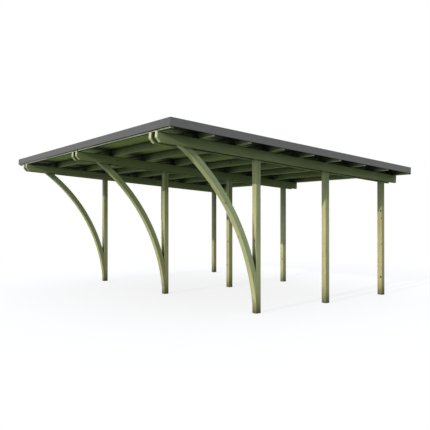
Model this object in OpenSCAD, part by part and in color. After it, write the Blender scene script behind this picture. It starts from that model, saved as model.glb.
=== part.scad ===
// Double carport with a mono-pitch roof: three lines of twin beams on posts, with curved braces at the front.
// Millimetres. The origin is on the ground under the middle of the roof, +Z up. Cars enter from -Y, the high side.

/* [Plan] */
// Width of the roof over its edge trims
roof_w = 6030; // [5600:10:7000]
// Length of the roof over its edge trims, measured along the slope
roof_l = 5368; // [4800:10:6200]
// Distance from the roof's side edges in to the centres of the outer posts
side_reach = 420; // [200:5:700]
// Distance from the roof's front edge back to the centres of the front posts, along the slope
front_reach = 1840; // [1720:5:2200]
// Distance from the roof's rear edge forward to the centres of the rear posts, along the slope
rear_reach = 340; // [100:2:800]

/* [Heights] */
// Height of the beams' underside above the ground at the centre of the front posts
clear_h = 2334; // [2100:1:2600]
// Fall of the roof towards the rear, in degrees
pitch = 3.4; // [1:0.01:8]

/* [Timber] */
// Side of the square posts
post_w = 94; // [80:1:140]
// Thickness of each beam of a pair
beam_t = 60; // [40:1:80]
// Depth of the beams
beam_h = 140; // [120:1:220]
// Cut corner under the front end of the beams
beam_nose = 58; // [10:1:90]
// Length by which the beams run past the front purlin
beam_head = 14; // [0:1:20]
// Length by which the beams run past the rear purlin
beam_tail = 31; // [0:1:100]
// Number of purlins
purlin_n = 9; // [6:1:12]
// Thickness of the purlins
purlin_t = 45; // [35:1:70]
// Depth of the purlins
purlin_h = 114; // [80:1:160]
// Chamfer on the long edges of posts, beams, purlins and braces
arris_w = 4; // [1:0.5:8]

/* [Braces] */
// Radius of the hollow side of the curved braces
brace_r = 3254; // [2800:2:6000]
// Depth of the braces, across the curve
brace_d = 94; // [60:1:140]
// Distance that the braces reach forward from the front posts, to their top corner
brace_reach = 1600; // [1200:5:1650]
// Height of the cut toe of the braces above the ground
brace_toe_z = 150; // [50:1:400]
// Thickness left at the cut toe
brace_toe_t = 4; // [2:0.5:20]

/* [Roof covering] */
// Thickness of the roof boards
deck_t = 16; // [12:1:28]
// Thickness of the roof membrane
membrane_t = 2; // [1:0.5:5]
// Sheet thickness of the edge trims
trim_t = 2; // [1:0.5:4]
// Height of the trims' upright face
trim_h = 112; // [60:1:140]
// Width of the trims' top flange, on the membrane
trim_flange = 60; // [30:1:120]
// Length by which the rear trim hangs lower than the others
trim_drip = 20; // [0:1:30]
// Distance that the trims stand out from the purlins
trim_stand = 22; // [4:1:40]

/* [Hidden] */
LINES = ["left", "centre", "right"];
ROWS = ["front", "middle", "rear"];
BEAMS = [
  "beam_left_outer", "beam_left_inner", "beam_centre_left", "beam_centre_right", "beam_right_inner", "beam_right_outer"
];
TIMBER = [0.42, 0.47, 0.29];
BOARDS = [0.36, 0.42, 0.22];
MEMBRANE = [0.20, 0.20, 0.21];
TRIM = [0.36, 0.36, 0.36];
$fn = 96;

// Heights in the roof's own frame, where 0 is the plane that the purlins rest on
deck_low = purlin_h;
membrane_low = deck_low + deck_t;
flange_low = membrane_low + membrane_t;
trim_top = flange_low + trim_t;
trim_low = trim_top - trim_h;

// The roof's own frame stands over the origin so that the whole outline is centred on it
roof_y = -(trim_low + trim_top) / 2 * sin(pitch);
front_y = roof_y + (front_reach - roof_l / 2) * cos(pitch);
rear_y = roof_y + (roof_l / 2 - rear_reach) * cos(pitch);
roof_z = clear_h + beam_h / cos(pitch) + (front_y - roof_y) * tan(pitch);

// Outer faces of the timber under the trims
timber_inset = trim_t + trim_stand;
timber_w = roof_w - 2 * timber_inset;
timber_l = roof_l - 2 * timber_inset;
purlin_pitch = (timber_l - purlin_t) / (purlin_n - 1);

// Height of the plane that the purlins rest on, over a place along the carport
function rest_z(y) = roof_z - (y - roof_y) * tan(pitch);
function line_x(i) = (i - 1) * (roof_w / 2 - side_reach);
function post_y(j) = front_y + j * (rear_y - front_y) / 2;
function purlin_v(k) = -timber_l / 2 + purlin_t / 2 + (k - 1) * purlin_pitch;

// Rectangle with chamfered corners, centred: the section of a planed timber
module planed(a, b) {
  x = a / 2;
  y = b / 2;
  polygon([
    [arris_w - x, -y], [x - arris_w, -y], [x, arris_w - y], [x, y - arris_w],
    [x - arris_w, y], [arris_w - x, y], [-x, y - arris_w], [-x, arris_w - y]
  ]);
}

// Places its children in the roof's own frame: X across, Y down the slope, Z square to the roof
module on_roof() {
  translate([0, roof_y, roof_z]) rotate([-pitch, 0, 0]) children();
}

// Everything below the plane that the purlins rest on
module under_purlins() {
  on_roof() translate([-roof_w, -roof_l, -2 * roof_z]) cube([2 * roof_w, 2 * roof_l, 2 * roof_z]);
}

// Square post between the beams of a pair, cut off level with their top edges
module post(i, j) {
  color(TIMBER) intersection() {
    translate([line_x(i), post_y(j), 0]) linear_extrude(rest_z(post_y(j) - post_w)) planed(post_w, post_w);
    under_purlins();
  }
}

// Curved brace: a planed section swept on an arc, from its toe on the front face of the post up between the beams
module brace(i) {
  face_y = post_y(0) - post_w / 2;
  toe = [face_y - brace_toe_t, brace_toe_z];
  top = [face_y - brace_reach, rest_z(face_y - brace_reach)];
  // The arc's centre lies square to the middle of the chord from toe to top, on its front side
  chord = top - toe;
  set_off = sqrt(pow(brace_r / norm(chord), 2) - 1 / 4);
  centre = (toe + top) / 2 + set_off * [-chord[1], chord[0]];
  top_angle = atan2(top[1] - centre[1], top[0] - centre[0]);
  color(TIMBER) translate([line_x(i), 0, 0]) rotate([90, 0, 90]) intersection() {
    translate([centre[0], centre[1], 0]) rotate([0, 0, top_angle])
      rotate_extrude($fn = 360) translate([brace_r + brace_d / 2, 0]) planed(brace_d, post_w);
    translate([0, 0, -post_w]) linear_extrude(2 * post_w) polygon([
      [centre[0], brace_toe_z], [face_y, brace_toe_z], [face_y, rest_z(face_y)], [centre[0], rest_z(centre[0])]
    ]);
  }
}

// One beam of a pair, counted from the left: a cut nose at the front and a square tail past the rear purlin
module beam(b) {
  x = line_x(floor(b / 2)) + (b % 2 == 0 ? -1 : 1) * (post_w + beam_t) / 2;
  front = -timber_l / 2 - beam_head;
  rear = timber_l / 2 + beam_tail;
  color(TIMBER) on_roof() intersection() {
    translate([x, rear, -beam_h / 2]) rotate([90, 0, 0]) linear_extrude(rear - front) planed(beam_t, beam_h);
    translate([x - beam_t, 0, 0]) rotate([90, 0, 90]) linear_extrude(2 * beam_t) polygon([
      [front + beam_nose, -beam_h], [rear, -beam_h], [rear, 0], [front, 0], [front, beam_nose - beam_h]
    ]);
  }
}

// Purlin across all beams, counted from the front
module purlin(k) {
  color(TIMBER) on_roof() translate([-timber_w / 2, purlin_v(k), purlin_h / 2])
    rotate([90, 0, 90]) linear_extrude(timber_w) planed(purlin_t, purlin_h);
}

// Flat sheet that covers the roof inside the trims
module roof_sheet(low, thick) {
  w = roof_w - 2 * trim_t;
  l = roof_l - 2 * trim_t;
  on_roof() translate([-w / 2, -l / 2, low]) cube([w, l, thick]);
}

// Section of the edge trims, with the upright's outer face at x = 0 and the roof at +x
module trim_section(low) {
  polygon([
    [0, low], [trim_t, low], [trim_t, flange_low], [trim_flange, flange_low], [trim_flange, trim_top], [0, trim_top]
  ]);
}

// Edge trim along one side, mitred at both ends: run is the side's length, half the distance to the opposite side,
// and low its lower edge
module trim(turn, run, half, low) {
  color(TRIM) on_roof() rotate([0, 0, turn]) intersection() {
    translate([-run / 2, -half, 0]) rotate([90, 0, 90]) linear_extrude(run) trim_section(low);
    translate([0, -half, low - trim_h]) linear_extrude(3 * trim_h) polygon([
      [-run / 2, 0], [run / 2, 0], [run / 2 - trim_flange, trim_flange], [trim_flange - run / 2, trim_flange]
    ]);
  }
}

for (i = [0:2]) {
  for (j = [0:2])
    post(i, j);
  brace(i);
}
for (b = [0:5])
  beam(b);
for (k = [1:purlin_n])
  purlin(k);
color(BOARDS) roof_sheet(deck_low, deck_t);  // roof_deck
color(MEMBRANE) roof_sheet(membrane_low, membrane_t);  // roof_membrane
trim(0, roof_w, roof_l / 2, trim_low);  // trim_front
trim(180, roof_w, roof_l / 2, trim_low - trim_drip);  // trim_rear
trim(-90, roof_l, roof_w / 2, trim_low);  // trim_left
trim(90, roof_l, roof_w / 2, trim_low);  // trim_right
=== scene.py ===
"""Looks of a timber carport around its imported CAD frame: materials, roof boards, roofing felt and nails."""
import math
import random

import bmesh
import bpy
from mathutils import Matrix, Vector


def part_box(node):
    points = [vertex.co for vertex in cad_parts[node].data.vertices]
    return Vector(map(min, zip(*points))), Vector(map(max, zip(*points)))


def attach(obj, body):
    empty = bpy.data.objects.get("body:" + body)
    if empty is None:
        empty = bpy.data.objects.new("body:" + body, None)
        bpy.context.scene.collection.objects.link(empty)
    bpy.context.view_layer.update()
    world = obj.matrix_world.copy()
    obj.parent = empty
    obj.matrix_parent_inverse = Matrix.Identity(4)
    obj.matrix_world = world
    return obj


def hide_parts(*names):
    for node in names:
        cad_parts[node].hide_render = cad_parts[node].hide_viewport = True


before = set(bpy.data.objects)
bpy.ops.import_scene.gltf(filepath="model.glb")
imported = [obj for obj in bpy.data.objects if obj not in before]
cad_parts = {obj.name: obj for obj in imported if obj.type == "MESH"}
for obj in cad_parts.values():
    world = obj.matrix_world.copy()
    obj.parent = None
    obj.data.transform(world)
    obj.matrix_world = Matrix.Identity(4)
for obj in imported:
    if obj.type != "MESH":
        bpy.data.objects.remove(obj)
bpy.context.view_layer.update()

# Sizes in metres and angles in radians, as the solids have them
PITCH = math.radians(3.4)
DECK_T = 0.016
MEMBRANE_T = 0.002
TRIM_T = 0.002
BRACE_RADIUS = 3.254
BRACE_CENTRE_Z = -0.2417
BRACE_CENTRE_BEFORE_POST = 3.2813

# Roof boards
BOARD_PITCH = 0.1116
BOARD_GAP = 0.0008
BOARD_CHAMFER = 0.0035
TONGUE = 0.005
TONGUE_PLAY = 0.0003

# Roofing felt, laid in strips that lap over each other
FELT_STRIP = 1.0
FELT_LAP = 0.08
FELT_RAMP = 0.015
FELT_SHEET = 0.0009

# Nails in the top flange of the edge trims; the rims of a domed head are shares of its radius and rise
NAIL_SPACING = 0.18
NAIL_INSET = 0.042
NAIL_RADIUS = 0.0045
NAIL_RISE = 0.0014
NAIL_SIDES = 12
NAIL_RIMS = ((1.0, 0.0), (0.96, 0.45), (0.6, 0.9))

LINES = ("left", "centre", "right")
ROWS = ("front", "middle", "rear")
BEAMS = ("left_outer", "left_inner", "centre_left", "centre_right", "right_inner", "right_outer")
PURLINS = 9
SEED = 11
POST_SEEDS = {"post_centre_rear": 41, "post_right_rear": 51}

# Knots that show on single posts, as places on their faces, with their radius
KNOTS = {
    "post_right_rear": (
        ((2.624, 2.288, 1.586), 0.024), ((2.622, 2.288, 0.337), 0.026),
        ((2.641, 2.290, 1.444), 0.016), ((2.641, 2.290, 0.957), 0.016),
    ),
    "post_centre_middle": (
        ((-0.012, 0.697, 1.444), 0.022), ((0.005, 0.697, 0.957), 0.024), ((-0.033, 0.697, 0.461), 0.022),
    ),
}


def srgb(red, green, blue):
    """A colour written as 0 to 255 screen values, as the linear colour that nodes take."""
    def linear(value):
        share = value / 255
        return share / 12.92 if share <= 0.04045 else ((share + 0.055) / 1.055) ** 2.4
    return (linear(red), linear(green), linear(blue), 1.0)


def middle(node):
    """The middle of a CAD node's box."""
    low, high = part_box(node)
    return (Vector(low) + Vector(high)) / 2


# The roof's own frame: X across, Y down the slope, Z square to the roof, in the middle of the deck
deck_low, deck_high = (Vector(corner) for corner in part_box("roof_deck"))
deck_w = deck_high.x - deck_low.x
deck_l = (deck_high.y - deck_low.y - DECK_T * math.sin(PITCH)) / math.cos(PITCH)
roof = Matrix.Translation(middle("roof_deck")) @ Matrix.Rotation(-PITCH, 4, "X")
down_slope = Vector((0, math.cos(PITCH), -math.sin(PITCH)))
off_roof = Vector((0, math.sin(PITCH), math.cos(PITCH)))
ALONG_X, ALONG_Z = Vector((1, 0, 0)), Vector((0, 0, 1))
WHITE = (1.0, 1.0, 1.0, 1.0)


# Node helpers

# Sockets of a Mix node that mixes colours, which share their names with those for other data
MIX_FACTOR, MIX_FIRST, MIX_SECOND, MIX_RESULT = 0, 6, 7, 2


def add(tree, kind, inputs=None, **settings):
    """A new node: settings are its properties; inputs are values or sockets, by an input's name or number."""
    made = tree.nodes.new(kind)
    for key, value in settings.items():
        setattr(made, key, value)
    for key, value in (inputs or {}).items():
        if isinstance(value, bpy.types.NodeSocket):
            tree.links.new(value, made.inputs[key])
        else:
            made.inputs[key].default_value = value
    return made


def calc(tree, operation, *values):
    """The result of a Math node."""
    return add(tree, "ShaderNodeMath", dict(enumerate(values)), operation=operation).outputs[0]


def times(tree, first, second):
    """The product of two numbers."""
    return calc(tree, "MULTIPLY", first, second)


def vary(tree, value, base, spread):
    """A number that rises from base by spread as the value goes from 0 to 1."""
    return calc(tree, "ADD", base, times(tree, value, spread))


def vector(tree, operation, first, second):
    """The vector result of a Vector Math node."""
    return add(tree, "ShaderNodeVectorMath", {0: first, 1: second}, operation=operation).outputs[0]


def length(tree, value):
    """The length of a vector."""
    return add(tree, "ShaderNodeVectorMath", {0: value}, operation="LENGTH").outputs["Value"]


def dot(tree, first, second):
    """The dot product of two vectors."""
    return add(tree, "ShaderNodeVectorMath", {0: first, 1: second}, operation="DOT_PRODUCT").outputs["Value"]


def combine(tree, x, y, z):
    """A vector from three numbers."""
    return add(tree, "ShaderNodeCombineXYZ", {"X": x, "Y": y, "Z": z}).outputs[0]


def separate(tree, value):
    """The three numbers of a vector, by the names X, Y and Z."""
    return add(tree, "ShaderNodeSeparateXYZ", {0: value}).outputs


def noise(tree, place, scale, detail=2.0, roughness=0.5):
    """A noise from 0 to 1; scale is a number or a stretch in three directions."""
    if not isinstance(scale, (int, float)):
        place = vector(tree, "MULTIPLY", place, scale)
        scale = 1.0
    inputs = {"Vector": place, "Scale": scale, "Detail": detail, "Roughness": roughness}
    return add(tree, "ShaderNodeTexNoise", inputs).outputs["Fac"]


def step(tree, value, start, end):
    """0 where the value is at start, 1 where it is at end, smooth between them; start may be above end."""
    inputs = {"Value": value, "From Min": start, "From Max": end}
    return add(tree, "ShaderNodeMapRange", inputs, interpolation_type="SMOOTHSTEP").outputs[0]


def mix(tree, factor, first, second, blend="MIX"):
    """A mix of two colours."""
    inputs = {MIX_FACTOR: factor, MIX_FIRST: first, MIX_SECOND: second}
    return add(tree, "ShaderNodeMix", inputs, data_type="RGBA", blend_type=blend).outputs[MIX_RESULT]


def tinted(tone, tint):
    """A colour times another."""
    return tuple(value * share for value, share in zip(tone, tint))


def position(tree):
    """The place on the object, in the part's frame."""
    return add(tree, "ShaderNodeTexCoord").outputs["Object"]


def facing(tree, direction):
    """The cosine of the angle between a face's normal and a direction."""
    return dot(tree, add(tree, "ShaderNodeNewGeometry").outputs["True Normal"], direction)


def new_tree(material):
    """The emptied node tree of a material or world."""
    material.use_nodes = True
    material.node_tree.nodes.clear()
    return material.node_tree


def new_material(name):
    """A material with an empty tree, its shader and its output."""
    material = bpy.data.materials.new(name)
    tree = new_tree(material)
    shader = add(tree, "ShaderNodeBsdfPrincipled")
    add(tree, "ShaderNodeOutputMaterial", {"Surface": shader.outputs[0]})
    return material, tree, shader


def finish_shader(tree, shader, colour, roughness, height, bump, distance, specular):
    """Links what a surface's pattern gives to its shader."""
    relief = add(tree, "ShaderNodeBump", {"Strength": bump, "Distance": distance, "Height": height})
    tree.links.new(colour, shader.inputs["Base Color"])
    tree.links.new(roughness, shader.inputs["Roughness"])
    tree.links.new(relief.outputs[0], shader.inputs["Normal"])
    shader.inputs["Specular IOR Level"].default_value = specular


# Treated timber: its colours, and how much of each shows
SUNNED_EARLY = srgb(198, 192, 144)
SUNNED_LATE = srgb(166, 159, 112)
GREEN_EARLY = srgb(150, 164, 116)
GREEN_LATE = srgb(116, 131, 86)
GREEN_STAIN = srgb(108, 124, 78)
KNOT = srgb(70, 56, 36)
END_GRAIN = srgb(192, 194, 158)
SPLASH = srgb(84, 94, 58)
# Near-black painted shade, for corners where pieces stand close and for faces that look down
PAINTED_SHADE = srgb(6, 8, 4)
LATE_SHARE = 0.5
STREAK_SHARE = 0.8
STAIN_SHARE = 0.4
FOOT_DARKENING_SHARE = 0.45
END_RING_SHARE = 0.3
HALO_SHARE = 0.35
KNOT_SHARE = 0.85
SPLIT_SHARE = 0.55
SPLASH_SHARE = 0.45
PAINTED_SHADE_SHARE = 0.98

# Its pattern: a stretch is the noise's scale along and across the grain, a range what a step runs between,
# and a varied number has a base and a spread
SEED_SHIFT = 13.7
KNOT_CELLS = 4.6
KNOT_CHOICE_RANGE = (0.45, 0.55)
KNOT_RANGE = (0.085, 0.055)
HALO_RANGE = (0.26, 0.06)
KNOT_BEND = 0.012
SPOT_CORE = 0.6
PITH_STRETCH = (0.9, 5.0, 5.0)
PITH_SWAY = (0.0, 0.030, 0.030)
RINGS_PER_METRE = 190.0
RING_POWER = 3.0
STREAK_STRETCH = (0.7, 42.0, 42.0)
STREAK_RANGE = (0.42, 0.78)
STAIN_STRETCH = (0.8, 4.0, 4.0)
STAIN_RANGE = (0.45, 0.75)
FIBRE_STRETCH = (9.0, 420.0, 420.0)
SPLIT_STRETCH = (1.1, 30.0, 30.0)
SPLIT_RANGE = (0.012, 0.003)
SPLIT_PLACES_STRETCH = (2.3, 9.0, 9.0)
SPLIT_PLACES_RANGE = (0.57, 0.66)
TONE_STRETCH = (0.35, 1.5, 1.5)
TONE_VARIES = (0.90, 0.2)
FOOT_DARKENING_RANGE = (1.1, 0.1)
SPLASH_STRETCH = (8.0, 25.0, 25.0)
SPLASH_EDGE_VARIES = (0.02, 0.22)
SPLASH_RANGE = (0.22, -0.10)
CORNER_SHADE_SAMPLES = 8
ROUGHNESS_VARIES = (0.62, 0.2)
FIBRE_RELIEF = 0.35
LATE_RELIEF = 0.25
KNOT_RELIEF = 0.3

# Where the pith lies: off the middle of a straight timber, inside the hollow side of a brace, above a board
PITH_SIDEWAYS = 0.06
PITH_DEPTHS = (0.02, 0.07)
BRACE_PITH = 0.03
BOARD_PITH = 0.055
BOARD_SEEDS = 40.0

# How far the painted corner shade looks for other pieces, and the open shares at which it starts and is full
TIMBER_CORNER_SHADE = (0.40, 0.78, 0.30)
BOARD_CORNER_SHADE = (1.00, 0.88, 0.50)
# Painted shade on faces that look down, as a share for each kind of piece and for the front purlin
UNDERSIDE_SHADE_SHARES = {"post": 0.9, "beam": 0.15, "purlin": 0.3, "purlin_1": 0.9}

# How squarely a face looks sideways, along the grain or down before it counts as such
SIDE_FACING_RANGE = (0.4, 0.8)
END_FACING_RANGE = (0.5, 0.9)
DOWN_FACING_RANGE = (0.55, 0.95)

# A hue is the share of the green palette low and high on the piece, and a tone. Timber is greener higher up
# and under the roof, partly as less bleached timber and partly as painted greenish shade; the tones set piece
# by piece also hold painted light and shade, making single pieces lighter or darker than the scene's light
# leaves them.
GREEN_RANGE = (1.2, 2.1)
POST_HUE = (0.10, 0.50, (1.04, 1.03, 1.02, 1.0))
OWN_POST_HUES = {
    "post_centre_rear": (0.10, 0.55, (1.2, 1.25, 1.36, 1.0)),
    "post_left_rear": (0.10, 0.50, (0.92, 0.88, 0.95, 1.0)),
    "post_right_rear": (0.05, 0.85, (1.07, 0.98, 0.96, 1.0)),
}
BRACE_HUES = {
    "left": (0.35, 0.65, (0.96, 0.98, 0.90, 1.0)),
    "centre": (0.35, 0.65, (0.98, 0.98, 0.90, 1.0)),
    "right": (0.15, 0.50, (1.17, 1.19, 1.20, 1.0)),
}
# Painted shade: faces that look sideways get a greener, cooler tint
SIDE_SHADE_TINT = (0.87, 0.96, 1.0, 1.0)
BEAM_HUES = {
    "left": (0.9, 0.9, (0.95, 0.95, 0.92, 1.0)),
    "centre": (0.9, 0.9, (0.80, 0.80, 0.74, 1.0)),
    "right": (0.9, 0.9, (1.0, 1.0, 1.0, 1.0)),
}
PURLIN_HUE = (0.95, 0.95, (1.36, 1.36, 1.40, 1.0))
# Purlin ends in the open overhang: lighter and greyer, partly as bleaching and partly as painted light
PURLIN_END_BLEACH_AND_LIGHT = (2.1, 1.9, 2.7, 1.0)
PURLIN_OVERHANG_RANGE = (2.70, 2.92)
FRONT_PURLIN_HUE = (0.4, 0.4, (0.84, 0.90, 1.20, 1.0))
BOARD_HUE = (1.0, 1.0, (1.32, 1.40, 0.98, 1.0))

# How far the faces cut across the grain show pale end grain
POST_ENDS = 0.3
# The centre beams show less pale end grain than the outer ones, as painted shade
BEAM_ENDS = {"left": 1.0, "centre": 0.75, "right": 1.0}
PURLIN_ENDS = 0.1


def timber_group():
    """The pattern of planed, treated softwood. Grain is along X of its vector, with the pith at 0."""
    tree = bpy.data.node_groups.new("treated_timber", "ShaderNodeTree")
    tree.interface.new_socket("Grain", in_out="INPUT", socket_type="NodeSocketVector")
    tree.interface.new_socket("Tone", in_out="INPUT", socket_type="NodeSocketColor")
    for name in ("Seed", "Green", "End", "Knot", "Height", "Under", "Reach", "Start", "Full"):
        tree.interface.new_socket(name, in_out="INPUT", socket_type="NodeSocketFloat")
    tree.interface.new_socket("Color", in_out="OUTPUT", socket_type="NodeSocketColor")
    for name in ("Roughness", "Relief"):
        tree.interface.new_socket(name, in_out="OUTPUT", socket_type="NodeSocketFloat")
    given = add(tree, "NodeGroupInput").outputs
    shift = combine(tree, times(tree, given["Seed"], SEED_SHIFT), 0.0, 0.0)
    place = vector(tree, "ADD", given["Grain"], shift)

    # Knots stand where a cell's point lies close under the surface, in about one cell of two
    cells = add(tree, "ShaderNodeTexVoronoi", {"Vector": place, "Scale": KNOT_CELLS}).outputs
    draw = add(tree, "ShaderNodeSeparateColor", {0: cells["Color"]}).outputs[0]
    chosen = step(tree, draw, *KNOT_CHOICE_RANGE)
    halo = times(tree, chosen, step(tree, cells["Distance"], *HALO_RANGE))
    knot = times(tree, chosen, step(tree, cells["Distance"], *KNOT_RANGE))
    knot = calc(tree, "MAXIMUM", knot, given["Knot"])

    # Growth rings round a pith that wanders along the timber and bends round the knots
    stretched = vector(tree, "MULTIPLY", place, PITH_STRETCH)
    wander = add(tree, "ShaderNodeTexNoise", {"Vector": stretched, "Scale": 1.0}).outputs["Color"]
    sway = vector(tree, "MULTIPLY", vector(tree, "SUBTRACT", wander, (0.5, 0.5, 0.5)), PITH_SWAY)
    across = vector(tree, "MULTIPLY", given["Grain"], (0.0, 1.0, 1.0))
    radius = length(tree, vector(tree, "ADD", across, sway))
    radius = calc(tree, "ADD", radius, times(tree, halo, KNOT_BEND))
    ring = calc(tree, "FRACT", times(tree, radius, RINGS_PER_METRE))
    late = calc(tree, "POWER", ring, RING_POWER)

    # Streaks, stains, fibres and drying splits along the grain
    streak = noise(tree, place, STREAK_STRETCH, detail=3.0, roughness=0.6)
    stain = noise(tree, place, STAIN_STRETCH)
    fibre = noise(tree, place, FIBRE_STRETCH)
    split = noise(tree, place, SPLIT_STRETCH, detail=1.0)
    split_line = step(tree, calc(tree, "ABSOLUTE", calc(tree, "SUBTRACT", split, 0.5)), *SPLIT_RANGE)
    split_places = step(tree, noise(tree, place, SPLIT_PLACES_STRETCH), *SPLIT_PLACES_RANGE)
    split_line = times(tree, split_line, split_places)

    early = mix(tree, given["Green"], SUNNED_EARLY, GREEN_EARLY)
    dark = mix(tree, given["Green"], SUNNED_LATE, GREEN_LATE)
    wood = mix(tree, times(tree, late, LATE_SHARE), early, dark)
    wood = mix(tree, times(tree, step(tree, streak, *STREAK_RANGE), STREAK_SHARE), wood, dark)
    wood = mix(tree, times(tree, step(tree, stain, *STAIN_RANGE), STAIN_SHARE), wood, GREEN_STAIN)
    tone = vary(tree, noise(tree, place, TONE_STRETCH), *TONE_VARIES)
    wood = mix(tree, 1.0, wood, combine(tree, tone, tone, tone), "MULTIPLY")
    wood = mix(tree, 1.0, wood, given["Tone"], "MULTIPLY")
    # Timber grows darker towards the foot, below about a metre
    wood = mix(tree, times(tree, step(tree, given["Height"], *FOOT_DARKENING_RANGE), FOOT_DARKENING_SHARE), wood, dark)
    end_rings = mix(tree, times(tree, late, END_RING_SHARE), END_GRAIN, dark)
    wood = mix(tree, given["End"], wood, end_rings)
    wood = mix(tree, times(tree, halo, HALO_SHARE), wood, dark)
    wood = mix(tree, times(tree, knot, KNOT_SHARE), wood, KNOT)
    wood = mix(tree, times(tree, split_line, SPLIT_SHARE), wood, KNOT)

    # Splashed soil at the foot, and near-black painted shade where other pieces stand close and on faces that
    # look down
    splash_edge = vary(tree, noise(tree, place, SPLASH_STRETCH), *SPLASH_EDGE_VARIES)
    above_edge = calc(tree, "SUBTRACT", given["Height"], splash_edge)
    wood = mix(tree, times(tree, step(tree, above_edge, *SPLASH_RANGE), SPLASH_SHARE), wood, SPLASH)
    occlusion = add(tree, "ShaderNodeAmbientOcclusion", {"Distance": given["Reach"]}, samples=CORNER_SHADE_SAMPLES)
    corner_shade = times(tree, step(tree, occlusion.outputs["AO"], given["Start"], given["Full"]), PAINTED_SHADE_SHARE)
    wood = mix(tree, calc(tree, "MAXIMUM", corner_shade, given["Under"]), wood, PAINTED_SHADE)

    rough = vary(tree, streak, *ROUGHNESS_VARIES)
    relief = calc(tree, "SUBTRACT", times(tree, fibre, FIBRE_RELIEF), times(tree, late, LATE_RELIEF))
    relief = calc(tree, "SUBTRACT", relief, split_line)
    relief = calc(tree, "ADD", relief, times(tree, knot, KNOT_RELIEF))
    add(tree, "NodeGroupOutput", {"Color": wood, "Roughness": rough, "Relief": relief})
    return tree


TIMBER = timber_group()


def timber_shader(tree, shader, grain, seed, hue, end=0.0, spots=(), under=0.0, corner_shade=TIMBER_CORNER_SHADE):
    """Puts the timber pattern on a shader; spots are knots at known places."""
    low, high, tone = hue
    height = separate(tree, position(tree))["Z"]
    green = vary(tree, step(tree, height, *GREEN_RANGE), low, high - low)
    reach, start, full = corner_shade
    inputs = {
        "Grain": grain, "Seed": seed, "Green": green, "Tone": tone, "End": end,
        "Height": height, "Under": under, "Reach": reach, "Start": start, "Full": full,
    }
    for spot, size in spots:
        distance = length(tree, vector(tree, "SUBTRACT", position(tree), spot))
        knot = step(tree, distance, size, SPOT_CORE * size)
        inputs["Knot"] = calc(tree, "MAXIMUM", inputs.get("Knot", 0.0), knot)
    out = add(tree, "ShaderNodeGroup", inputs, node_tree=TIMBER).outputs
    finish_shader(tree, shader, out["Color"], out["Roughness"], out["Relief"],
                  bump=0.5, distance=0.0012, specular=0.06)


def end_share(tree, along):
    """1 on faces cut square across the grain, less on slanted ones, and 0 on long faces."""
    return step(tree, calc(tree, "ABSOLUTE", facing(tree, along)), *END_FACING_RANGE)


def painted_underside_shade(tree, share):
    """Painted shade on faces that look down: the given share where a face looks down, else 0."""
    return times(tree, step(tree, facing(tree, -ALONG_Z), *DOWN_FACING_RANGE), share)


def side_shaded_tone(tree, hue):
    """A hue whose tone is painted greener and cooler on faces that look sideways than on those that look
    forward, as painted shade.
    """
    low, high, tone = hue
    share = step(tree, calc(tree, "ABSOLUTE", facing(tree, ALONG_X)), *SIDE_FACING_RANGE)
    return low, high, mix(tree, share, tone, tinted(tone, SIDE_SHADE_TINT))


def purlin_overhang_tone(tree, hue):
    """The hue of a purlin, whose ends in the open overhang are lighter and greyer: partly bleached, and
    partly painted light that lifts them out of the painted corner shade.
    """
    low, high, tone = hue
    across = separate(tree, position(tree))["X"]
    share = step(tree, calc(tree, "ABSOLUTE", across), *PURLIN_OVERHANG_RANGE)
    return low, high, mix(tree, share, tone, PURLIN_END_BLEACH_AND_LIGHT)


def straight_timber(node, along, across, seed, hue, end, toning=None):
    """Material of a straight timber, from its directions. Toning changes the hue from place to place."""
    material, tree, shader = new_material("timber_" + node)
    chance = random.Random(SEED + seed)
    third = along.cross(across)
    sideways = chance.uniform(-PITH_SIDEWAYS, PITH_SIDEWAYS)
    depth = chance.choice((-1, 1)) * chance.uniform(*PITH_DEPTHS)
    pith = middle(node) + sideways * across + depth * third
    place = vector(tree, "SUBTRACT", position(tree), pith)
    grain = combine(tree, dot(tree, place, along), dot(tree, place, across), dot(tree, place, third))
    cut = times(tree, end_share(tree, along), end)
    if toning:
        hue = toning(tree, hue)
    kind = node.split("_")[0]
    under = painted_underside_shade(tree, UNDERSIDE_SHADE_SHARES.get(node, UNDERSIDE_SHADE_SHARES[kind]))
    timber_shader(tree, shader, grain, float(seed), hue, cut, KNOTS.get(node, ()), under)
    return material


def bent_timber(node, seed, hue):
    """Material of a curved brace, whose grain follows the arc."""
    material, tree, shader = new_material("timber_" + node)
    post = middle(node.replace("brace", "post") + "_front")
    centre = Vector((post.x, post.y - BRACE_CENTRE_BEFORE_POST, BRACE_CENTRE_Z))
    place = separate(tree, vector(tree, "SUBTRACT", position(tree), centre))
    angle = calc(tree, "ARCTAN2", place["Z"], place["Y"])
    squares = [calc(tree, "POWER", place[axis], 2.0) for axis in ("Y", "Z")]
    radius = calc(tree, "SQRT", calc(tree, "ADD", *squares))
    along = times(tree, angle, BRACE_RADIUS)
    depth = calc(tree, "SUBTRACT", radius, BRACE_RADIUS - BRACE_PITH)
    grain = combine(tree, along, depth, place["X"])
    timber_shader(tree, shader, grain, float(seed), side_shaded_tone(tree, hue))
    return material


def board_timber():
    """Timber of the roof boards, where each board has its own stretch of grain."""
    material, tree, shader = new_material("timber_boards")
    seed = add(tree, "ShaderNodeAttribute", attribute_name="board").outputs["Fac"]
    offset = add(tree, "ShaderNodeAttribute", attribute_name="board_x").outputs["Fac"]
    place = vector(tree, "SUBTRACT", position(tree), middle("roof_deck"))
    along = dot(tree, place, down_slope)
    across = calc(tree, "SUBTRACT", dot(tree, place, ALONG_X), offset)
    deep = calc(tree, "ADD", dot(tree, place, off_roof), BOARD_PITH)
    grain = combine(tree, along, across, deep)
    timber_shader(tree, shader, grain, times(tree, seed, BOARD_SEEDS), BOARD_HUE, corner_shade=BOARD_CORNER_SHADE)
    return material


# Other materials

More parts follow.
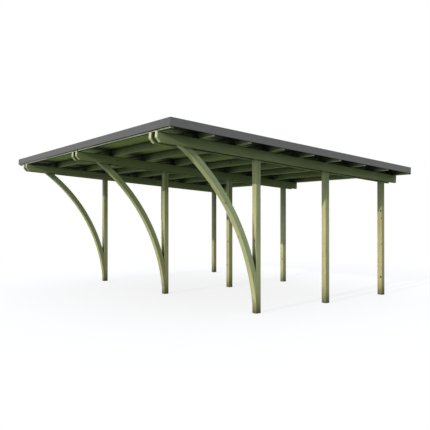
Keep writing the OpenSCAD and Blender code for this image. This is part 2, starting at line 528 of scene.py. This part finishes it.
# Screen value of the trims' grey: the front and rear ones are set darker than the side ones, as painted shade
# and light that evens out how the key light falls on the front and the sides. The colours of its base, its
# mottling and its run-off streaks are steps from that value.
TRIM_LIT_AND_SHADED_GREYS = {"front": 52, "rear": 52, "left": 76, "right": 76}
TRIM_BASE = (0, 2, 0)
TRIM_MOTTLE = (9, 11, 9)
TRIM_RUNS = (-9, -8, -11)
TRIM_MOTTLE_SCALE = 9.0
TRIM_MOTTLE_RANGE = (0.3, 0.7)
TRIM_RUNS_STRETCH = (38.0, 38.0, 1.6)
TRIM_RUNS_RANGE = (0.5, 0.75)
TRIM_RUNS_SHARE = 0.35
TRIM_GRAIN_SCALE = 260.0
TRIM_ROUGHNESS_VARIES = (0.42, 0.22)

FELT_DARK = srgb(48, 50, 50)
FELT_LIGHT = srgb(92, 94, 92)
FELT_OWN = srgb(92, 95, 93)
FELT_PATCH = srgb(72, 77, 64)
FELT_RUNS = srgb(104, 106, 102)
FELT_SEAM = srgb(34, 37, 32)
FELT_GRAIN_SCALE = 620.0
FELT_GRAIN_RANGE = (0.35, 0.7)
FELT_PATCH_SCALE = 2.2
FELT_PATCH_RANGE = (0.4, 0.75)
FELT_RUNS_STRETCH = (9.0, 0.5, 0.5)
FELT_RUNS_RANGE = (0.5, 0.8)
FELT_SEAM_RANGE = (0.030, 0.004)
FELT_OWN_SHARE = 0.4
FELT_PATCH_SHARE = 0.5
FELT_RUNS_SHARE = 0.45
FELT_SEAM_SHARE = 0.6
FELT_ROUGHNESS_VARIES = (0.78, 0.18)

ZINC_DARK = srgb(126, 128, 128)
ZINC_LIGHT = srgb(162, 164, 163)
ZINC_SPANGLE_SCALE = 300.0
ZINC_ROUGHNESS_VARIES = (0.38, 0.2)
ZINC_METALLIC = 0.8


def painted_trim(name, shade):
    """Grey coated sheet metal with faint mottling and run-off streaks, from the screen value of its grey."""
    material, tree, shader = new_material(name)
    shifts = (TRIM_BASE, TRIM_MOTTLE, TRIM_RUNS)
    base, light, dark = (srgb(*(shade + shift for shift in colour)) for colour in shifts)
    place = position(tree)
    mottle = noise(tree, place, TRIM_MOTTLE_SCALE, detail=4.0, roughness=0.6)
    runs = noise(tree, place, TRIM_RUNS_STRETCH, detail=3.0, roughness=0.55)
    grain = noise(tree, place, TRIM_GRAIN_SCALE)
    colour = mix(tree, step(tree, mottle, *TRIM_MOTTLE_RANGE), base, light)
    colour = mix(tree, times(tree, step(tree, runs, *TRIM_RUNS_RANGE), TRIM_RUNS_SHARE), colour, dark)
    rough = vary(tree, mottle, *TRIM_ROUGHNESS_VARIES)
    finish_shader(tree, shader, colour, rough, grain, bump=0.15, distance=0.0006, specular=0.9)
    return material


def mineral_felt():
    """Dark roofing felt with a coat of fine stone grains, where each strip has its own tone."""
    material, tree, shader = new_material("mineral_felt")
    place = position(tree)
    grains = noise(tree, place, FELT_GRAIN_SCALE, roughness=0.7)
    patches = noise(tree, place, FELT_PATCH_SCALE, detail=4.0, roughness=0.6)
    runs = noise(tree, place, FELT_RUNS_STRETCH, detail=3.0, roughness=0.6)
    # Strips are counted over their visible width, from one lapped edge to the next
    from_edge = calc(tree, "ADD", separate(tree, place)["X"], deck_w / 2 - FELT_LAP)
    strips = times(tree, from_edge, round(deck_w / FELT_STRIP) / deck_w)
    number = calc(tree, "FLOOR", strips)
    own = add(tree, "ShaderNodeTexWhiteNoise", {"W": number}, noise_dimensions="1D").outputs["Value"]
    seam = step(tree, calc(tree, "FRACT", strips), *FELT_SEAM_RANGE)
    colour = mix(tree, step(tree, grains, *FELT_GRAIN_RANGE), FELT_DARK, FELT_LIGHT)
    colour = mix(tree, times(tree, own, FELT_OWN_SHARE), colour, FELT_OWN)
    patch = step(tree, patches, *FELT_PATCH_RANGE)
    colour = mix(tree, times(tree, patch, FELT_PATCH_SHARE), colour, FELT_PATCH)
    colour = mix(tree, times(tree, step(tree, runs, *FELT_RUNS_RANGE), FELT_RUNS_SHARE), colour, FELT_RUNS)
    colour = mix(tree, times(tree, seam, FELT_SEAM_SHARE), colour, FELT_SEAM)
    rough = vary(tree, grains, *FELT_ROUGHNESS_VARIES)
    finish_shader(tree, shader, colour, rough, grains, bump=0.6, distance=0.0012, specular=0.25)
    return material


def zinc_nail():
    """Galvanised steel of the nail heads."""
    material, tree, shader = new_material("zinc_nail")
    spangle = noise(tree, position(tree), ZINC_SPANGLE_SCALE, detail=3.0)
    colour = mix(tree, spangle, ZINC_DARK, ZINC_LIGHT)
    rough = vary(tree, spangle, *ZINC_ROUGHNESS_VARIES)
    finish_shader(tree, shader, colour, rough, spangle, bump=0.2, distance=0.0004, specular=0.5)
    shader.inputs["Metallic"].default_value = ZINC_METALLIC
    return material


# Pieces

def make_object(name, shape, material):
    """An object from a bmesh, with outward normals."""
    bmesh.ops.recalc_face_normals(shape, faces=shape.faces)
    mesh = bpy.data.meshes.new(name)
    shape.to_mesh(mesh)
    shape.free()
    mesh.materials.append(material)
    made = bpy.data.objects.new(name, mesh)
    bpy.context.scene.collection.objects.link(made)
    return made


def prism(shape, section, run, place):
    """Extrudes a section of (x, z) points along Y, centred, and returns its faces."""
    rings = []
    for y in (-run / 2, run / 2):
        rings.append([shape.verts.new(place @ Vector((x, y, z))) for x, z in section])
    front, back = rings
    faces = [shape.faces.new(front), shape.faces.new(back)]
    for corner in range(len(section)):
        after = (corner + 1) % len(section)
        faces.append(shape.faces.new((front[corner], front[after], back[after], back[corner])))
    return faces


def board_section(width, tongue):
    """Section of a tongued and grooved board, with chamfers below that make a V at each joint."""
    x, z = width / 2, DECK_T / 2
    tongue_z, groove_z = TONGUE / 2, TONGUE / 2 + TONGUE_PLAY
    groove_x = TONGUE + TONGUE_PLAY - x
    right = []
    if tongue:
        right = [(x, -tongue_z), (x + tongue, -tongue_z), (x + tongue, tongue_z), (x, tongue_z)]
    return [
        (BOARD_CHAMFER - x, -z), (x - BOARD_CHAMFER, -z), (x, BOARD_CHAMFER - z), *right, (x, z), (-x, z),
        (-x, groove_z), (groove_x, groove_z), (groove_x, -groove_z), (-x, -groove_z), (-x, BOARD_CHAMFER - z),
    ]


def roof_boards():
    """The deck as single boards that run down the slope."""
    count = round(deck_w / BOARD_PITCH)
    pitch = deck_w / count
    chance = random.Random(SEED)
    shape = bmesh.new()
    seed = shape.faces.layers.float.new("board")
    offset = shape.faces.layers.float.new("board_x")
    for number in range(count):
        x = (number + 0.5) * pitch - deck_w / 2
        tongue = TONGUE if number < count - 1 else 0
        value = chance.random()
        section = board_section(pitch - BOARD_GAP, tongue)
        for face in prism(shape, section, deck_l, roof @ Matrix.Translation((x, 0, 0))):
            face[seed] = value
            face[offset] = x
    return make_object("roof_boards", shape, board_timber())


def felt_strips():
    """Strips of roofing felt down the slope, each lapped over the edge of the next."""
    count = round(deck_w / FELT_STRIP)
    width = deck_w / count
    low = DECK_T / 2
    lift = low + FELT_SHEET
    shape = bmesh.new()
    for number in range(count):
        left = number * width - deck_w / 2
        right = left + width
        under = [(left, low), (right, low)]
        if number < count - 1:
            under = [(left, low), (right - FELT_RAMP, low), (right, lift), (right + FELT_LAP, lift)]
        section = under + [(x, z + FELT_SHEET) for x, z in reversed(under)]
        prism(shape, section, deck_l, roof)
    return make_object("roof_felt", shape, mineral_felt())


def nail_head(shape, place):
    """A shallow domed head with its rim at the origin."""
    turns = [2 * math.pi * k / NAIL_SIDES for k in range(NAIL_SIDES)]
    rims = []
    for across, up in NAIL_RIMS:
        radius, height = NAIL_RADIUS * across, NAIL_RISE * up
        corners = [Vector((radius * math.cos(turn), radius * math.sin(turn), height)) for turn in turns]
        rims.append([shape.verts.new(place @ corner) for corner in corners])
    for lower, upper in zip(rims, rims[1:]):
        for k in range(NAIL_SIDES):
            after = (k + 1) % NAIL_SIDES
            shape.faces.new((lower[k], lower[after], upper[after], upper[k]))
    shape.faces.new(rims[-1])
    shape.faces.new(list(reversed(rims[0])))


def flange_nails():
    """Rows of nails through the top flanges of the four trims."""
    top = DECK_T / 2 + MEMBRANE_T + TRIM_T
    half_x = deck_w / 2 - NAIL_INSET
    half_y = deck_l / 2 - NAIL_INSET
    shape = bmesh.new()
    for run, half, turn in ((half_x, half_y, 0), (half_y, half_x, math.pi / 2)):
        count = round(2 * run / NAIL_SPACING)
        for side in (-1, 1):
            for number in range(count):
                along = (2 * (number + 0.5) / count - 1) * run
                spot = Matrix.Rotation(turn, 4, "Z") @ Matrix.Translation((along, side * half, top))
                nail_head(shape, roof @ spot)
    return make_object("flange_nails", shape, zinc_nail())


# Materials of the solids

def dress(node, material):
    """Gives a CAD node one material."""
    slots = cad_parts[node].data.materials
    slots.clear()
    slots.append(material)


def dress_frame():
    """Every solid that stays in view gets its own material, with the grain along the timber."""
    seed = 0
    for line in LINES:
        for row in ROWS:
            seed += 1
            node = f"post_{line}_{row}"
            hue = OWN_POST_HUES.get(node, POST_HUE)
            own_seed = POST_SEEDS.get(node, seed)
            dress(node, straight_timber(node, ALONG_Z, ALONG_X, own_seed, hue, POST_ENDS, side_shaded_tone))
        seed += 1
        dress(f"brace_{line}", bent_timber(f"brace_{line}", seed, BRACE_HUES[line]))
    for name in BEAMS:
        seed += 1
        node = f"beam_{name}"
        line = name.split("_")[0]
        dress(node, straight_timber(node, down_slope, ALONG_X, seed, BEAM_HUES[line], BEAM_ENDS[line]))
    for number in range(1, PURLINS + 1):
        seed += 1
        node = f"purlin_{number}"
        hue, toning = (FRONT_PURLIN_HUE, None) if number == 1 else (PURLIN_HUE, purlin_overhang_tone)
        dress(node, straight_timber(node, ALONG_X, down_slope, seed, hue, PURLIN_ENDS, toning))
    for side, shade in TRIM_LIT_AND_SHADED_GREYS.items():
        dress(f"trim_{side}", painted_trim(f"coated_trim_{side}", shade))


# Stage

CAMERA_PLACE = Vector((8.5087, -6.2229, 1.4459))
CAMERA_YAW = math.radians(52.271)
CAMERA_TILT = math.radians(0.352)
CAMERA_LENS = 43.69
CAMERA_SENSOR = 36.0
CAMERA_SIGHT = 500.0
SUN_TOWARDS = Vector((-0.173, 1.0, -0.349))
SUN_STRENGTH = 2.08
SUN_ANGLE = math.radians(0.2)
SUN_COLOUR = (1.0, 0.93, 0.80)
SKY_LOW = 0.03
SKY_RISE = 1.2
SKY_COLOUR = (0.92, 1.0, 1.12, 1.0)
GLOW_TOP = 0.5
GLOW_STRENGTH = 0.8
FILL_TOWARDS = Vector((-0.1, 1.0, -0.15))
FILL_STRENGTH = 0.95
FILL_COLOUR = (0.92, 1.0, 1.20)
FILL_ANGLE = math.radians(60)
FLOOR_HALF = 60.0
FLOOR_BOUNCE = (0.24, 0.255, 0.22, 1.0)
FLOOR_SHADED = (0.22, 0.22, 0.22, 1.0)
FLOOR_GLOW = 0.78
FLOOR_WHITE_RANGE = (5.0, 9.0)


def set_camera():
    """The camera at the photograph's place."""
    data = bpy.data.cameras.new("camera")
    data.lens = CAMERA_LENS
    data.sensor_width = CAMERA_SENSOR
    data.clip_end = CAMERA_SIGHT
    camera = bpy.data.objects.new("camera", data)
    camera.location = CAMERA_PLACE
    camera.rotation_euler = (math.pi / 2 + CAMERA_TILT, 0, CAMERA_YAW)
    bpy.context.scene.collection.objects.link(camera)
    bpy.context.scene.camera = camera


def seen_share(tree):
    """1 for rays that show the background white: the camera's own and those in gloss and glass."""
    path = add(tree, "ShaderNodeLightPath").outputs
    bent = calc(tree, "MAXIMUM", path["Is Glossy Ray"], path["Is Transmission Ray"])
    return calc(tree, "MAXIMUM", path["Is Camera Ray"], bent)


def set_floor():
    """A pale floor that keeps a soft shadow near the object and is white further out."""
    shape = bmesh.new()
    bmesh.ops.create_grid(shape, x_segments=1, y_segments=1, size=FLOOR_HALF)
    material = bpy.data.materials.new("pale_floor")
    tree = new_tree(material)
    bounce = add(tree, "ShaderNodeBsdfDiffuse", {"Color": FLOOR_BOUNCE}).outputs[0]
    shaded = add(tree, "ShaderNodeBsdfDiffuse", {"Color": FLOOR_SHADED}).outputs[0]
    glow = add(tree, "ShaderNodeEmission", {"Color": WHITE, "Strength": FLOOR_GLOW}).outputs[0]
    white = add(tree, "ShaderNodeEmission", {"Color": WHITE, "Strength": 1.0}).outputs[0]
    near = add(tree, "ShaderNodeAddShader", {0: shaded, 1: glow}).outputs[0]
    far = step(tree, length(tree, position(tree)), *FLOOR_WHITE_RANGE)
    pale = add(tree, "ShaderNodeMixShader", {0: far, 1: near, 2: white}).outputs[0]
    surface = add(tree, "ShaderNodeMixShader", {0: seen_share(tree), 1: bounce, 2: pale}).outputs[0]
    add(tree, "ShaderNodeOutputMaterial", {"Surface": surface})
    make_object("floor", shape, material)


def sun_lamp(name, towards, strength, angle, colour):
    """A distant lamp that shines in one direction."""
    data = bpy.data.lights.new(name, "SUN")
    data.energy = strength
    data.angle = angle
    data.color = colour
    lamp = bpy.data.objects.new(name, data)
    lamp.rotation_euler = towards.to_track_quat("-Z", "Y").to_euler()
    bpy.context.scene.collection.objects.link(lamp)


def set_light():
    """A key from the front, a wide fill round it, and a sky that is brightest overhead and low in front."""
    sun_lamp("key", SUN_TOWARDS, SUN_STRENGTH, SUN_ANGLE, SUN_COLOUR)
    sun_lamp("fill", FILL_TOWARDS, FILL_STRENGTH, FILL_ANGLE, FILL_COLOUR)
    world = bpy.data.worlds.new("studio")
    bpy.context.scene.world = world
    tree = new_tree(world)
    towards = separate(tree, add(tree, "ShaderNodeTexCoord").outputs["Generated"])
    rise = times(tree, calc(tree, "MAXIMUM", towards["Z"], 0.0), SKY_RISE)
    ahead = calc(tree, "MAXIMUM", times(tree, towards["Y"], -1.0), 0.0)
    low_share = step(tree, towards["Z"], GLOW_TOP, 0.0)
    glow = times(tree, times(tree, ahead, low_share), GLOW_STRENGTH)
    strength = calc(tree, "ADD", calc(tree, "ADD", rise, SKY_LOW), glow)
    sky = add(tree, "ShaderNodeBackground", {"Color": SKY_COLOUR, "Strength": strength}).outputs[0]
    white = add(tree, "ShaderNodeBackground", {"Color": WHITE, "Strength": 1.0}).outputs[0]
    surface = add(tree, "ShaderNodeMixShader", {0: seen_share(tree), 1: sky, 2: white}).outputs[0]
    add(tree, "ShaderNodeOutputWorld", {"Surface": surface})


set_camera()
dress_frame()

boards = roof_boards()
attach(boards, "root")
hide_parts("roof_deck")

felt = felt_strips()
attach(felt, "root")
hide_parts("roof_membrane")

nails = flange_nails()
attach(nails, "root")

set_floor()
set_light()
bpy.context.scene.view_settings.view_transform = "Standard"
